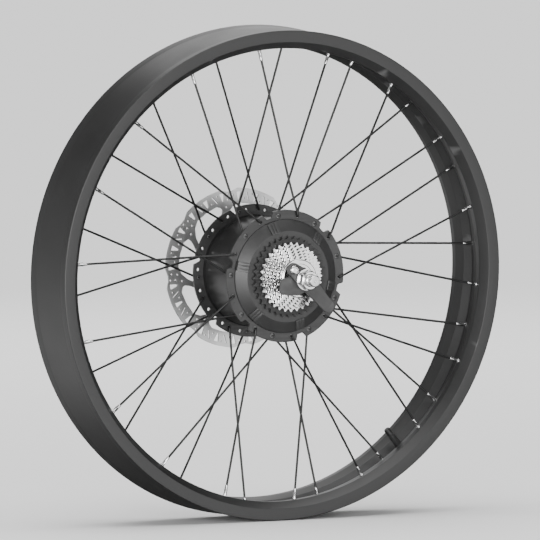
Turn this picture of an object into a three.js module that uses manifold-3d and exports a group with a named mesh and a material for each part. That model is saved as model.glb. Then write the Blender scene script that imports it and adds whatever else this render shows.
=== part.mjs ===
// A rear hub motor wheel for a fat-tyre electric bicycle, without its tyre:
// a wide 26 inch rim laced with 36 crossed spokes to a geared hub motor, with
// a seven-row freewheel and a torque arm on the drive side, and an eight-arm
// brake rotor on the other side.
//
// Units are millimetres, +Z is up. The wheel turns about Y, the drive side is
// at -Y, and the origin is the centre of the rim.
//
// Every solid is built in a hub frame whose z is the distance from the rim's
// middle plane towards the drive side, and the exported group turns that frame
// into the part's own. Angles run from +X towards +Z.
import * as THREE from 'three';
import { mergeVertices } from 'three/addons/utils/BufferGeometryUtils.js';
import Module from 'manifold-3d';

const wasm = await Module();
wasm.setup();

// ---- driving dimensions -------------------------------------------------
const GAP = 0.3; // clearance between neighbouring pieces

const RIM_R = 290; // outer edge of the rim
const RIM_FACE_R = 276; // inner edge of the flat side faces
const RIM_LAND_R = 268; // two lands, the rim's smallest radius
const RIM_FLOOR_R = 279.3; // floor of the middle channel
const RIM_HALF = 43.4; // half the rim's width
const VALVE_ANGLE = -49.9;
const VALVE_TIP_R = 251.6;

const PHASE = -11.28; // turns the hub's drilling pattern to its rest position
const SPOKES_PER_SIDE = 18;
const SPOKE_R = 1.3;
const NIPPLE_R = 2.1;
const NIPPLE_LENGTH = 12.7;
const CROSSING_OFFSET = 0.85; // two crossing spokes touch here, so they share a body

const FLANGE_T = 3.2;
const DRIVE_FLANGE = { r: 78.3, z: 50.2, holes: 71.9 }; // z of the outer face
const BRAKE_FLANGE = { r: 78.6, z: -33.8, holes: 72.6 };

const SHELL_BORE = 62.5;
const COVER_FACE_Z = 58;
const STUB_R = 13; // sleeve of the cover that carries the freewheel
const AXLE_R = 8.2;
const AXLE_THREAD_R = 7;
const AXLE_TIP_DRIVE = 127.6;
const AXLE_TIP_BRAKE = -118;
const STATOR_SEAT_R = 13;

const MODULE = 2.25; // gear module
const SUN_TEETH = 12;
const PLANET_TEETH = 18;
const RING_TEETH = 48;
const GEAR_Z = 12.5;
const GEAR_T = 13;
const PLANET_CENTRE = (MODULE * (SUN_TEETH + PLANET_TEETH)) / 2;
const PLANET_ANGLES = [90, 210, 330];

const SPROCKET_BORE = 20.4;
const BIG_SPROCKET = { teeth: 36, tip: 48.4, z: 59.6, t: 1.9 };
const SPROCKET_ROWS = [32, 30, 27, 25, 23, 21]; // teeth, from the big one outwards
const SPROCKET_TIP = 41.3; // of the largest of them
const SPROCKET_TIP_STEP = 2.95; // each next one is smaller by this
const SPROCKET_Z0 = 64.1;
const SPROCKET_STEP = 3.6;
const SPROCKET_T = 1.9;

const ROTOR_R = 94.4;
const ROTOR_TRACK_R = 77;
const ROTOR_Z = -74;
const ROTOR_T = 2;
const ROTOR_ARMS = 8;

// ---- materials ----------------------------------------------------------
const paint = (color, roughness, metalness) =>
  new THREE.MeshStandardMaterial({ color, roughness, metalness });
const M = {
  rim: paint(0x37383a, 0.45, 0.35),
  shell: paint(0x2c2d2f, 0.5, 0.3),
  cover: paint(0x3b3c3e, 0.5, 0.3),
  spoke: paint(0x2b2b2c, 0.4, 0.6),
  sprocket: paint(0xc9cacc, 0.28, 0.95),
  blackSteel: paint(0x232425, 0.5, 0.5),
  steel: paint(0xb4b6b9, 0.32, 0.95),
  chrome: paint(0xd9dbde, 0.12, 1.0),
  rotor: paint(0x8f9092, 0.35, 0.9),
  rubber: paint(0x1a1a1b, 0.75, 0.0),
  plastic: paint(0x161617, 0.45, 0.0),
  nylon: paint(0xe6e2d6, 0.5, 0.0),
  copper: paint(0xb0643a, 0.4, 0.8),
  magnet: paint(0x8a8c90, 0.35, 0.9),
  lamination: paint(0x55575a, 0.5, 0.8),
  alloy: paint(0x9c9ea1, 0.4, 0.9),
};

// ---- solids ---------------------------------------------------------------
const rad = (deg) => (deg * Math.PI) / 180;
const polar = (r, deg) => [r * Math.cos(rad(deg)), r * Math.sin(rad(deg))];

// A closed three.js geometry as a solid, turned the right way out.
function solid(geometry) {
  const g = geometry.index ? geometry : geometry.clone();
  g.deleteAttribute('normal');
  g.deleteAttribute('uv');
  const merged = mergeVertices(g, 1e-4);
  const tris = new Uint32Array(merged.index.array);
  const build = () =>
    new wasm.Manifold(
      new wasm.Mesh({
        numProp: 3,
        vertProperties: new Float32Array(merged.attributes.position.array),
        triVerts: tris,
      }),
    );
  let made = build();
  if (made.volume() < 0) {
    for (let i = 0; i < tris.length; i += 3) [tris[i + 1], tris[i + 2]] = [tris[i + 2], tris[i + 1]];
    made = build();
  }
  return made;
}
const join = (list) => list.reduce((a, b) => a.add(b));
const cut = (base, list) => (list.length ? base.subtract(join(list)) : base);

// A profile of [radius, z] points turned about the hub axis.
function turned(profile, segments) {
  const pts = profile.map(([r, z]) => new THREE.Vector2(r, z));
  if (profile[0][0] > 0 || profile[profile.length - 1][0] > 0) pts.push(pts[0].clone());
  return solid(new THREE.LatheGeometry(pts, segments).rotateX(Math.PI / 2));
}
function shapeOf(points, holes = []) {
  const s = new THREE.Shape(points.map(([x, y]) => new THREE.Vector2(x, y)));
  for (const h of holes) s.holes.push(new THREE.Path(h.map(([x, y]) => new THREE.Vector2(x, y))));
  return s;
}
// A flat outline with holes, from z to z + t.
function plate(points, holes, z, t) {
  return solid(new THREE.ExtrudeGeometry(shapeOf(points, holes), { depth: t, bevelEnabled: false, curveSegments: 1 }).translate(0, 0, z));
}
function circle(r, n, x = 0, y = 0, phase = 0) {
  return Array.from({ length: n }, (_, i) => {
    const [a, b] = polar(r, phase + (i * 360) / n);
    return [x + a, y + b];
  });
}
// A round bar along z.
function bar(r, z0, z1, n, x = 0, y = 0, r2 = r) {
  return solid(
    new THREE.CylinderGeometry(r2, r, z1 - z0, n).rotateX(Math.PI / 2).translate(x, y, (z0 + z1) / 2),
  );
}
// A bar along a radius of the wheel, from radius a to radius b, at height z.
function radialBar(r, a, b, deg, z, n, r2 = r) {
  return solid(
    new THREE.CylinderGeometry(r2, r, b - a, n)
      .rotateZ(-Math.PI / 2)
      .translate((a + b) / 2, 0, z)
      .rotateZ(rad(deg)),
  );
}

// A wire with a section of n sides through stations of { p, r }. Two stations
// at one point make a step in its thickness.
function wire(stations, n) {
  const pts = stations.map((s) => new THREE.Vector3(...s.p));
  const count = pts.length;
  const dirBetween = (i, j) => pts[j].clone().sub(pts[i]).normalize();
  const next = (i) => {
    for (let j = i + 1; j < count; j++) if (pts[j].distanceTo(pts[i]) > 1e-6) return j;
    return -1;
  };
  const prev = (i) => {
    for (let j = i - 1; j >= 0; j--) if (pts[j].distanceTo(pts[i]) > 1e-6) return j;
    return -1;
  };
  let dir = dirBetween(0, next(0));
  const seed = Math.abs(dir.z) > 0.9 ? new THREE.Vector3(1, 0, 0) : new THREE.Vector3(0, 0, 1);
  const u = new THREE.Vector3().crossVectors(dir, seed).normalize();
  const v = new THREE.Vector3().crossVectors(dir, u);
  let offs = Array.from({ length: n }, (_, k) =>
    u.clone().multiplyScalar(Math.cos((2 * Math.PI * k) / n)).addScaledVector(v, Math.sin((2 * Math.PI * k) / n)),
  );
  const verts = [];
  for (let i = 0; i < count; i++) {
    const b = next(i);
    const a = prev(i);
    const dirIn = a < 0 ? dir : dirBetween(a, i);
    const dirOut = b < 0 ? dirIn : dirBetween(i, b);
    const normal = dirIn.clone().add(dirOut).normalize();
    const flat = offs.map((o) => o.clone().addScaledVector(dirIn, -o.dot(normal) / dirIn.dot(normal)));
    for (const o of flat) verts.push(...pts[i].clone().addScaledVector(o, stations[i].r).toArray());
    offs = flat.map((o) => o.clone().addScaledVector(dirOut, -o.dot(dirOut)));
    dir = dirOut;
  }
  const index = [];
  for (let i = 0; i < count - 1; i++)
    for (let k = 0; k < n; k++) {
      const a = i * n + k;
      const b = i * n + ((k + 1) % n);
      index.push(a, b, a + n, b, b + n, a + n);
    }
  for (let k = 1; k < n - 1; k++) {
    index.push(0, k + 1, k);
    const e = (count - 1) * n;
    index.push(e, e + k, e + k + 1);
  }
  const g = new THREE.BufferGeometry();
  g.setAttribute('position', new THREE.Float32BufferAttribute(verts, 3));
  g.setIndex(index);
  return solid(g);
}

// ---- scene ------------------------------------------------------------------
const wheel = new THREE.Group();
wheel.rotation.x = Math.PI / 2; // hub z to -Y, hub y to +Z

function add(name, made, material) {
  const mesh = made.getMesh();
  const g = new THREE.BufferGeometry();
  g.setAttribute('position', new THREE.Float32BufferAttribute(Array.from(mesh.vertProperties), 3));
  g.setIndex(Array.from(mesh.triVerts));
  g.computeVertexNormals();
  const m = new THREE.Mesh(g, material);
  m.name = name;
  wheel.add(m);
}

// ---- rim: two hollow side chambers with an open channel between them ----------
const half = [
  [RIM_R - 1.2, 30],
  [RIM_R, RIM_HALF],
  [RIM_FACE_R, RIM_HALF],
  [RIM_LAND_R, 34.2],
  [RIM_LAND_R, 26],
  [RIM_LAND_R + 3.4, 12.4],
  [RIM_FLOOR_R, 5.3],
];
const rimProfile = [
  ...half,
  ...half.slice().reverse().map(([r, z]) => [r, -z]),
];
const chamber = (side) =>
  turned(
    [
      [RIM_R - 4, 9],
      [RIM_R - 4, 40.7],
      [RIM_FACE_R + 2, 40.7],
      [RIM_LAND_R + 4, 33.5],
      [RIM_LAND_R + 4, 25.5],
      [RIM_LAND_R + 8, 12.5],
    ].map(([r, z]) => [r, z * side]),
    30,
  );
const valveHole = radialBar(4.4, RIM_LAND_R, RIM_R + 5, VALVE_ANGLE, 0, 10);
const drain = (side) => radialBar(2, RIM_LAND_R - 3, RIM_LAND_R + 8, VALVE_ANGLE + 180, 30 * side, 6);
add('rim', cut(turned(rimProfile, 50), [chamber(1), chamber(-1), valveHole, drain(1), drain(-1)]), M.rim);

// ---- valve: rubber stem with a flared foot, and a screwed cap --------------------
const stem = radialBar(4.1, VALVE_TIP_R + 9.5, RIM_R - 1.5, VALVE_ANGLE, 0, 10, 4.0);
add('valve_stem', stem.add(radialBar(3.0, VALVE_TIP_R + 8.4, VALVE_TIP_R + 10, VALVE_ANGLE, 0, 10)), M.rubber);
add('valve_cap', radialBar(3.6, VALVE_TIP_R, VALVE_TIP_R + 8.1, VALVE_ANGLE, 0, 10, 4.3), M.plastic);

// ---- spokes ------------------------------------------------------------------------
// Each spoke: a head on one face of the flange, through the hole, an elbow on the
// other face, over the flange's edge, the crossing with its neighbour, a nipple.
const along = (a, b, t) => a + (b - a) * t;
function crossing(h1, e1, h2, e2) {
  const d1 = [e1[0] - h1[0], e1[1] - h1[1]];
  const d2 = [e2[0] - h2[0], e2[1] - h2[1]];
  const w = [h2[0] - h1[0], h2[1] - h1[1]];
  const det = d1[0] * -d2[1] + d2[0] * d1[1];
  return [(w[0] * -d2[1] + d2[0] * w[1]) / det, (d1[0] * w[1] - d1[1] * w[0]) / det];
}
function spoke({ hole, seat, zHead, zFace, zElbow, zEnd, t, zCross, step }) {
  const at = (f, z) => [along(hole[0], seat[0], f), along(hole[1], seat[1], f), z];
  const run = Math.hypot(seat[0] - hole[0], seat[1] - hole[1]);
  const p0 = new THREE.Vector3(...at(t, zCross));
  const p1 = new THREE.Vector3(...at(1, zEnd));
  const dir = p1.clone().sub(p0).normalize();
  const end = p1.clone().addScaledVector(dir, -0.5);
  const neck = p1.clone().addScaledVector(dir, -NIPPLE_LENGTH);
  const s = [
    { p: at(0, zHead), r: 2.5 },
    { p: at(0, zFace), r: 2.5 },
    { p: at(0, zFace), r: SPOKE_R },
    { p: at(0, zElbow), r: SPOKE_R },
  ];
  if (step) s.push({ p: at(8.6 / run, zElbow), r: SPOKE_R });
  s.push(
    { p: p0.toArray(), r: SPOKE_R },
    { p: neck.toArray(), r: SPOKE_R },
    { p: neck.toArray(), r: NIPPLE_R },
    { p: end.toArray(), r: NIPPLE_R },
  );
  return wire(s, 4);
}
function spokePair(name, a, b, seatR, zSeat, crossZ, faces) {
  const holeA = polar(a.r, a.hub + PHASE);
  const holeB = polar(b.r, b.hub + PHASE);
  const seatA = polar(seatR, a.rim + PHASE);
  const seatB = polar(seatR, b.rim + PHASE);
  const [ta, tb] = crossing(holeA, seatA, holeB, seatB);
  const outer = spoke({ hole: holeA, seat: seatA, ...faces.a, zEnd: zSeat, t: ta, zCross: crossZ + CROSSING_OFFSET });
  const inner = spoke({ hole: holeB, seat: seatB, ...faces.b, zEnd: zSeat, t: tb, zCross: crossZ - CROSSING_OFFSET });
  add(name, outer.add(inner), M.spoke);
}
const HEAD_CLEAR = 0.35;
const headFaces = (zOut, zIn, sign) => ({
  // a lies on the face nearer the drive side, b on the other
  a: { zHead: zIn - HEAD_CLEAR - 1.3, zFace: zIn - HEAD_CLEAR, zElbow: zOut + 1.75, step: sign > 0 },
  b: { zHead: zOut + HEAD_CLEAR + 1.3, zFace: zOut + HEAD_CLEAR, zElbow: zIn - 1.75, step: sign < 0 },
});
const driveFaces = headFaces(DRIVE_FLANGE.z, DRIVE_FLANGE.z - FLANGE_T, 1);
const brakeFaces = headFaces(BRAKE_FLANGE.z + FLANGE_T, BRAKE_FLANGE.z, -1);
for (let k = 0; k < SPOKES_PER_SIDE / 2; k++) {
  spokePair(
    `spoke_pair_drive_${k + 1}`,
    { r: DRIVE_FLANGE.holes, hub: 8 + 40 * k, rim: 26.3 + 40 * k },
    { r: DRIVE_FLANGE.holes, hub: 28 + 40 * k, rim: 6.3 + 40 * k },
    RIM_LAND_R - 0.7,
    29.5,
    44.4,
    driveFaces,
  );
  spokePair(
    `spoke_pair_brake_${k + 1}`,
    { r: BRAKE_FLANGE.holes, hub: 15.3 + 40 * k, rim: 35.95 + 40 * k },
    { r: BRAKE_FLANGE.holes, hub: 35.3 + 40 * k, rim: 15.95 + 40 * k },
    RIM_FLOOR_R - 0.8,
    0,
    -25.6,
    brakeFaces,
  );
}

// ---- hub shell: cup with both flanges, bearing seat and rotor mount --------------------
const shellProfile = [
  [17, -79],
  [17, -71.7],
  [24, -71.7],
  [24, -60],
  [58, -45],
  [66, -37],
  [66, BRAKE_FLANGE.z],
  [BRAKE_FLANGE.r, BRAKE_FLANGE.z],
  [BRAKE_FLANGE.r, BRAKE_FLANGE.z + FLANGE_T],
  [68, BRAKE_FLANGE.z + FLANGE_T],
  [65, -27],
  [66.4, 10],
  [67.6, DRIVE_FLANGE.z - FLANGE_T],
  [DRIVE_FLANGE.r, DRIVE_FLANGE.z - FLANGE_T],
  [DRIVE_FLANGE.r, DRIVE_FLANGE.z],
  [SHELL_BORE, DRIVE_FLANGE.z],
  [SHELL_BORE, -31],
  [55, -41],
  [20.3, -52],
  [20.3, -64],
  [12, -64],
  [12, -79],
];
const drilled = (r, deg, z0, z1, radius) => {
  const [x, y] = polar(radius, deg + PHASE);
  return bar(r, z0, z1, 5, x, y);
};
// A notch in a flange's edge, open outwards.
function notch(a0, a1, b0, b1, floor, z0, z1) {
  const pts = [polar(floor, a0 + PHASE), polar(84, b0 + PHASE), polar(84, b1 + PHASE), polar(floor, a1 + PHASE)];
  return plate(pts, [], z0, z1 - z0);
}
const shellCuts = [];
for (let k = 0; k < SPOKES_PER_SIDE; k++) {
  shellCuts.push(drilled(2.05, 8 + 20 * k, DRIVE_FLANGE.z - 5, DRIVE_FLANGE.z + 2, DRIVE_FLANGE.holes));
  shellCuts.push(drilled(2.2, 8 + 20 * k, BRAKE_FLANGE.z - 2, BRAKE_FLANGE.z + 5, BRAKE_FLANGE.holes));
  shellCuts.push(drilled(2.05, 15.3 + 20 * k, BRAKE_FLANGE.z - 2, BRAKE_FLANGE.z + 5, BRAKE_FLANGE.holes));
}
for (let k = 0; k < 6; k++) {
  const n = 58 + 60 * k;
  shellCuts.push(notch(n - 3, n + 3, n - 7, n + 7, 71.9, DRIVE_FLANGE.z - 5, DRIVE_FLANGE.z + 2));
  shellCuts.push(notch(n - 0.6, n + 2, n - 0.8, n + 8, 71.2, BRAKE_FLANGE.z - 2, BRAKE_FLANGE.z + 5));
}
add('hub_shell', cut(turned(shellProfile, 36), shellCuts), M.shell);

// ---- drive cover: coned lid with six ribbed pads and the freewheel's sleeve ------------
const coverProfile = [
  [9.7, 82],
  [STUB_R, 82],
  [STUB_R, COVER_FACE_Z],
  [54, COVER_FACE_Z],
  [66.9, 51.6],
  [66.9, DRIVE_FLANGE.z + GAP],
  [61.9, DRIVE_FLANGE.z + GAP],
  [61.9, 45],
  [57, 45],
  [50, 52.5],
  [25, 53.5],
  [25, 43.5],
  [20.3, 43.5],
  [20.3, 55],
  [9.7, 55],
];
function pad(deg) {
  const side = new THREE.Shape(
    [[52.5, 55], [52.5, 57.9], [54.6, 59.2], [66.6, 53.2], [66.8, 51.2], [60, 52]].map(([x, y]) => new THREE.Vector2(x, y)),
  );
  const g = new THREE.ExtrudeGeometry(side, { depth: 10.6, bevelEnabled: false }).translate(0, 0, -5.3).rotateX(Math.PI / 2).rotateZ(rad(deg));
  return solid(g);
}
add(
  'drive_cover',
  join([turned(coverProfile, 36), ...[0, 1, 2, 3, 4, 5].map((k) => pad(58 + 60 * k + PHASE))]),
  M.cover,
);

// ---- gears: straight flanks, thinned for backlash ---------------------------------------
// Outer outline of a gear, one tooth centred on `phase`.
function gearOutline(teeth, tipR, rootR, tipHalf, rootHalf, phase) {
  const out = [];
  for (let i = 0; i < teeth; i++) {
    const c = phase + (i * 360) / teeth;
    const dr = (rootHalf / rootR) * (180 / Math.PI);
    const dt = (tipHalf / tipR) * (180 / Math.PI);
    out.push(polar(rootR, c - dr), polar(tipR, c - dt), polar(tipR, c + dt), polar(rootR, c + dr));
  }
  return out;
}
const sunR = (MODULE * SUN_TEETH) / 2;
const planetR = (MODULE * PLANET_TEETH) / 2;
const ringR = (MODULE * RING_TEETH) / 2;
add(
  'ring_gear',
  plate(
    circle(61.9, 24),
    [gearOutline(RING_TEETH, ringR - 0.8 * MODULE, ringR + 1.15 * MODULE, 0.62, 2.1, 0)],
    GEAR_Z - 0.5,
    GEAR_T + 1,
  ),
  M.steel,
);
add(
  'sun_gear',
  plate(gearOutline(SUN_TEETH, sunR + 0.8 * MODULE, sunR - 1.15 * MODULE, 0.62, 1.9, 0), [circle(8.7, 12)], 8.3, GEAR_Z + GEAR_T + 1 - 8.3),
  M.steel,
);
PLANET_ANGLES.forEach((deg, i) => {
  const [x, y] = polar(PLANET_CENTRE, deg);
  const outline = gearOutline(PLANET_TEETH, planetR + 0.8 * MODULE, planetR - 1.15 * MODULE, 0.62, 1.95, deg + 180 / PLANET_TEETH);
  const gear = plate(outline, [circle(4.4, 8)], GEAR_Z, GEAR_T).translate([x, y, 0]);
  add(`planet_gear_${i + 1}`, gear, M.nylon);
});

// ---- motor rotor: steel can with a ring of magnets inside --------------------------------
add(
  'rotor_can',
  turned([[48.3, -32], [51.5, -32], [51.5, 8], [8.7, 8], [8.7, 4], [48.3, 4]], 28),
  M.steel,
);
add('magnet_ring', turned([[45.3, -31], [47.9, -31], [47.9, 3.4], [45.3, 3.4]], 28), M.magnet);

// ---- stator: laminated core with twelve poles, and its end windings -----------------------
const poles = [];
for (let i = 0; i < 12; i++) {
  const c = i * 30;
  poles.push(
    polar(24, c - 9.5), polar(39, c - 6), polar(41, c - 13), polar(44.6, c - 12.5),
    polar(44.6, c + 12.5), polar(41, c + 13), polar(39, c + 6), polar(24, c + 9.5),
  );
}
add('stator_core', plate(poles, [circle(STATOR_SEAT_R + 0.5, 16)], -30, 30), M.lamination);
const crown = [];
for (let i = 0; i < 12; i++) crown.push(polar(33, i * 30 - 11), polar(39.5, i * 30 - 6), polar(39.5, i * 30 + 6), polar(33, i * 30 + 11));
add('stator_windings', plate(crown, [circle(22, 16)], -37.5, 7.2), M.copper);

// ---- planet carrier: disc on the axle with three pins -------------------------------------
const pins = PLANET_ANGLES.map((deg) => bar(3.8, 10.5, 30, 8, ...polar(PLANET_CENTRE, deg)));
add(
  'planet_carrier',
  join([turned([[AXLE_R + GAP, 28], [15, 28], [15, 29], [41, 29], [41, 33], [AXLE_R + GAP, 33]], 20), ...pins]),
  M.alloy,
);

// ---- axle ------------------------------------------------------------------------------
add(
  'axle_shaft',
  turned(
    [
      [4.4, AXLE_TIP_BRAKE],
      [AXLE_THREAD_R, AXLE_TIP_BRAKE],
      [AXLE_THREAD_R, -93],
      [AXLE_R, -93],
      [AXLE_R, -38],
      [STATOR_SEAT_R, -38],
      [STATOR_SEAT_R, 1],
      [AXLE_R, 1],
      [AXLE_R, 94.5],
      [AXLE_THREAD_R, 94.5],
      [AXLE_THREAD_R, AXLE_TIP_DRIVE - 1],
      [AXLE_THREAD_R - 0.8, AXLE_TIP_DRIVE],
      [0, AXLE_TIP_DRIVE],
      [0, -96],
      [4.4, -96],
    ],
    16,
  ),
  M.steel,
);
add('cable_gland', turned([[0, -97], [3.95, -97], [3.95, AXLE_TIP_BRAKE - 0.3], [6, AXLE_TIP_BRAKE - 0.3], [5, AXLE_TIP_BRAKE - 3], [0, AXLE_TIP_BRAKE - 3]], 14), M.rubber);

// ---- bearings ------------------------------------------------------------------------------
const ringOf = (rIn, rOut, z0, z1, n = 16) => turned([[rIn, z0], [rOut, z0], [rOut, z1], [rIn, z1]], n);
add('bearing_brake_outer', ringOf(12.7, 20, -63.5, -52.6), M.chrome);
add('bearing_brake_inner', ringOf(AXLE_R + GAP, 12.3, -63.5, -52.6), M.chrome);
add('bearing_drive_outer', ringOf(12.7, 20, 43.8, 54.6), M.chrome);
add('bearing_drive_inner', ringOf(AXLE_R + GAP, 12.3, 43.8, 54.6), M.chrome);

// ---- freewheel -------------------------------------------------------------------------------
add('freehub_body', ringOf(STUB_R + 0.4, 19.5, 58.6, 84.6, 20), M.steel);
// A toothed disc with pointed teeth.
function sprocket(teeth, tip, rootDepth, z, t, phase) {
  const outline = [];
  const step = 360 / teeth;
  for (let i = 0; i < teeth; i++) {
    const c = phase + i * step;
    outline.push(polar(tip - rootDepth, c - step * 0.5), polar(tip, c));
  }
  return plate(outline, [circle(SPROCKET_BORE, 12)], z, t);
}
add('sprocket_1', sprocket(BIG_SPROCKET.teeth, BIG_SPROCKET.tip, 3.6, BIG_SPROCKET.z, BIG_SPROCKET.t, 0), M.blackSteel);
SPROCKET_ROWS.forEach((teeth, i) => {
  add(
    `sprocket_${i + 2}`,
    sprocket(teeth, SPROCKET_TIP - i * SPROCKET_TIP_STEP, 3.3, SPROCKET_Z0 + i * SPROCKET_STEP, SPROCKET_T, 180 + PHASE + ((i % 2) * 180) / teeth),
    M.sprocket,
  );
});
add('cassette_lockring', ringOf(14, 22.6, 84.9, 87.9, 20), M.sprocket);

// ---- drive end of the axle: locknut, lug plate, torque arm, washer, nut ---------------------------
add('locknut_drive', plate(circle(12.4, 6, 0, 0, 10), [circle(AXLE_R + 0.4, 14)], 88.6, 5.8), M.steel);

const inPlane = (p, q) => [0.9807 * p + 0.1957 * q, -0.1957 * p + 0.9807 * q]; // axes tilted by the hub's rest angle
const lug = [
  inPlane(8, 9), inPlane(-6, 11), inPlane(-12, 3), inPlane(-27, -3.5), inPlane(-30, -7), inPlane(-28.5, -20), inPlane(-25, -22.5),
  inPlane(-4, -20), inPlane(9, -12), inPlane(13, -2),
];
add('lug_plate', plate(lug, [circle(AXLE_THREAD_R + 0.4, 14)], 94.8, 3.5), M.blackSteel);

const BOLT = [-17.4, 9.1];
const ARM_END = [36.6, -26.4];
const armOutline = [];
{
  const arc = (c, r, a0, a1, n) => {
    for (let i = 0; i <= n; i++) {
      const [x, y] = polar(r, a0 + ((a1 - a0) * i) / n);
      armOutline.push(inPlane(c[0] + x, c[1] + y));
    }
  };
  arc(BOLT, 8, 60, 240, 6);
  arc([0, 0], 11.5, 215, 262, 3);
  arc(ARM_END, 7.4, 240, 416, 6);
  arc([0, 0], 11.5, 28, 78, 3);
}
add(
  'torque_arm',
  plate(armOutline, [circle(AXLE_THREAD_R + 0.4, 14), circle(3.5, 8, ...inPlane(...BOLT))], 98.6, 4),
  M.blackSteel,
);
{
  const [x, y] = inPlane(...BOLT);
  const head = turned([[0, 102.9], [5.7, 102.9], [5.5, 104.8], [4.2, 106.3], [2.6, 106.9], [2.4, 105], [0, 105]], 12);
  const shank = bar(2.9, 91, 103, 8);
  add('torque_arm_bolt', head.add(shank).translate([x, y, 0]), M.chrome);
}
add('washer_drive', ringOf(AXLE_THREAD_R + GAP, 12.6, 102.9, 104.7), M.chrome);

// A hexagon nut with its outer corners turned off.
function nut(corner, z0, z1, bore, sign) {
  const hex = plate(circle(corner, 6, 0, 0, 19), [circle(bore + 0.1, 12)], Math.min(z0, z1), Math.abs(z1 - z0));
  const lo = Math.min(z0, z1);
  const hi = Math.max(z0, z1);
  const turnedCorners =
    sign > 0
      ? turned([[0, lo - 1], [20, lo - 1], [20, hi - 6], [corner - 1.4, hi + 0.2], [0, hi + 0.2]], 18)
      : turned([[0, hi + 1], [20, hi + 1], [20, lo + 6], [corner - 1.4, lo - 0.2], [0, lo - 0.2]], 18);
  return hex.intersect(turnedCorners);
}
add('nut_drive', nut(12.1, 105, 115, AXLE_THREAD_R + GAP, 1), M.chrome);

// ---- brake side: rotor, lockring, seal, locknut, nut -------------------------------------------------
// Going inward from the slotted track, each arm sweeps towards larger angles. The outer edge has a step at each arm.
const rotorCuts = [];
const rotorOutline = [];
const sector = 360 / ROTOR_ARMS;
for (let k = 0; k < ROTOR_ARMS; k++) {
  const j = 109.2 + k * sector + PHASE; // where the arm meets the track
  rotorOutline.push(
    polar(ROTOR_R - 3.3, j - 4), polar(ROTOR_R - 3.4, j), polar(ROTOR_R, j + 6), polar(ROTOR_R, j + 16), polar(ROTOR_R, j + 26), polar(ROTOR_R, j + 36),
  );
  // window between two arms
  const w = [];
  for (const [r, a] of [[ROTOR_TRACK_R, 12], [ROTOR_TRACK_R, 23], [ROTOR_TRACK_R, 34], [73, 40.5], [65.5, 46.7], [56, 52.7], [45, 58], [33, 64.5], [33, 32.5], [45, 23], [56, 15.9], [65.5, 8.9], [73, 6.5]])
    w.push(polar(r, j + a));
  rotorCuts.push(plate(w, [], ROTOR_Z - 1, ROTOR_T + 2));
  // three tapered slots with a slanted slit between each two
  for (const [a, lean, inner, outer] of [[4.6, 0, 0.6, 2.0], [10.1, 3, 0.55, 0.55], [19.6, 0, 0.6, 2.0], [25.3, 3, 0.55, 0.55], [34.8, 0, 0.6, 2.0]]) {
    const s = [polar(80.7, j + a - inner), polar(90.2, j + a + lean - outer), polar(90.2, j + a + lean + outer), polar(80.7, j + a + inner)];
    rotorCuts.push(plate(s, [], ROTOR_Z - 1, ROTOR_T + 2));
  }
}
add('brake_rotor', cut(plate(rotorOutline, [circle(17.4, 20)], ROTOR_Z, ROTOR_T), rotorCuts), M.rotor);
add('rotor_lockring', ringOf(17.4, 22, -77.6, -74.3), M.blackSteel);
add('dust_seal_brake', ringOf(AXLE_R + GAP, 15.5, -81.6, -79.3, 16), M.rubber);
add('locknut_brake', plate(circle(12.6, 6), [circle(AXLE_R + 0.4, 14)], -93, 11), M.steel);
add('nut_brake', nut(12.1, -112.5, -102.5, AXLE_THREAD_R + GAP, -1), M.chrome);

export default wheel;
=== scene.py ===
import math

import bpy
import numpy as np
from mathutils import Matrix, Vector
from mathutils.geometry import tessellate_polygon


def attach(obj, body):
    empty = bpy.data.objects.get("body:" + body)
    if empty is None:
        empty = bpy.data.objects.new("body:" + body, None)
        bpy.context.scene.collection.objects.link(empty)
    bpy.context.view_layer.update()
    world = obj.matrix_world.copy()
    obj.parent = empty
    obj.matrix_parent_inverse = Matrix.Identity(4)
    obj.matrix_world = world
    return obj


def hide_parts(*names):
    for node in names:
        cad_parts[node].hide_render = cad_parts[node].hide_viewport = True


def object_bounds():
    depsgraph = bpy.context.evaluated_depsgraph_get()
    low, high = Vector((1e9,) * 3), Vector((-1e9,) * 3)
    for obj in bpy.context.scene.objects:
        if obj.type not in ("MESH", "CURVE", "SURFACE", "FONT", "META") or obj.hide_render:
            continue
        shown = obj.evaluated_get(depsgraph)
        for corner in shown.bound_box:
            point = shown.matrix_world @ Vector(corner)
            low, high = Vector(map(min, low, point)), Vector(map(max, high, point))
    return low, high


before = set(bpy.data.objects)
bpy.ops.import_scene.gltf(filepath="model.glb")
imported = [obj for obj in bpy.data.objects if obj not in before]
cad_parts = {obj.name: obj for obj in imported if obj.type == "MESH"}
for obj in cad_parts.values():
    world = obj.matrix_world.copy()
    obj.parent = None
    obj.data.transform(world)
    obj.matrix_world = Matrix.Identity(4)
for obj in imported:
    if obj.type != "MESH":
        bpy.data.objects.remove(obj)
cad_box = [list(v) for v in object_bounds()]

# All lengths below are millimetres in the hub's own frame: z is the distance
# from the rim's middle plane towards the drive side, x and y lie in the wheel's
# plane. They become metres in the part's frame in piece().
PHASE = -11.28


def rad(d):
    return d * math.pi / 180


def polar(r, d):
    return (r * math.cos(rad(d)), r * math.sin(rad(d)))


def in_plane(p, q):
    return (0.9807 * p + 0.1957 * q, -0.1957 * p + 0.9807 * q)


# ------------------------------------------------------------------ mesh tools
def volume(v, f):
    total = 0.0
    v = np.asarray(v, float)
    for face in f:
        a = v[face[0]]
        for i in range(1, len(face) - 1):
            total += float(np.dot(a, np.cross(v[face[i]], v[face[i + 1]])))
    return total / 6


def outward(v, f):
    return (v, f) if volume(v, f) > 0 else (v, [tuple(reversed(x)) for x in f])


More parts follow.
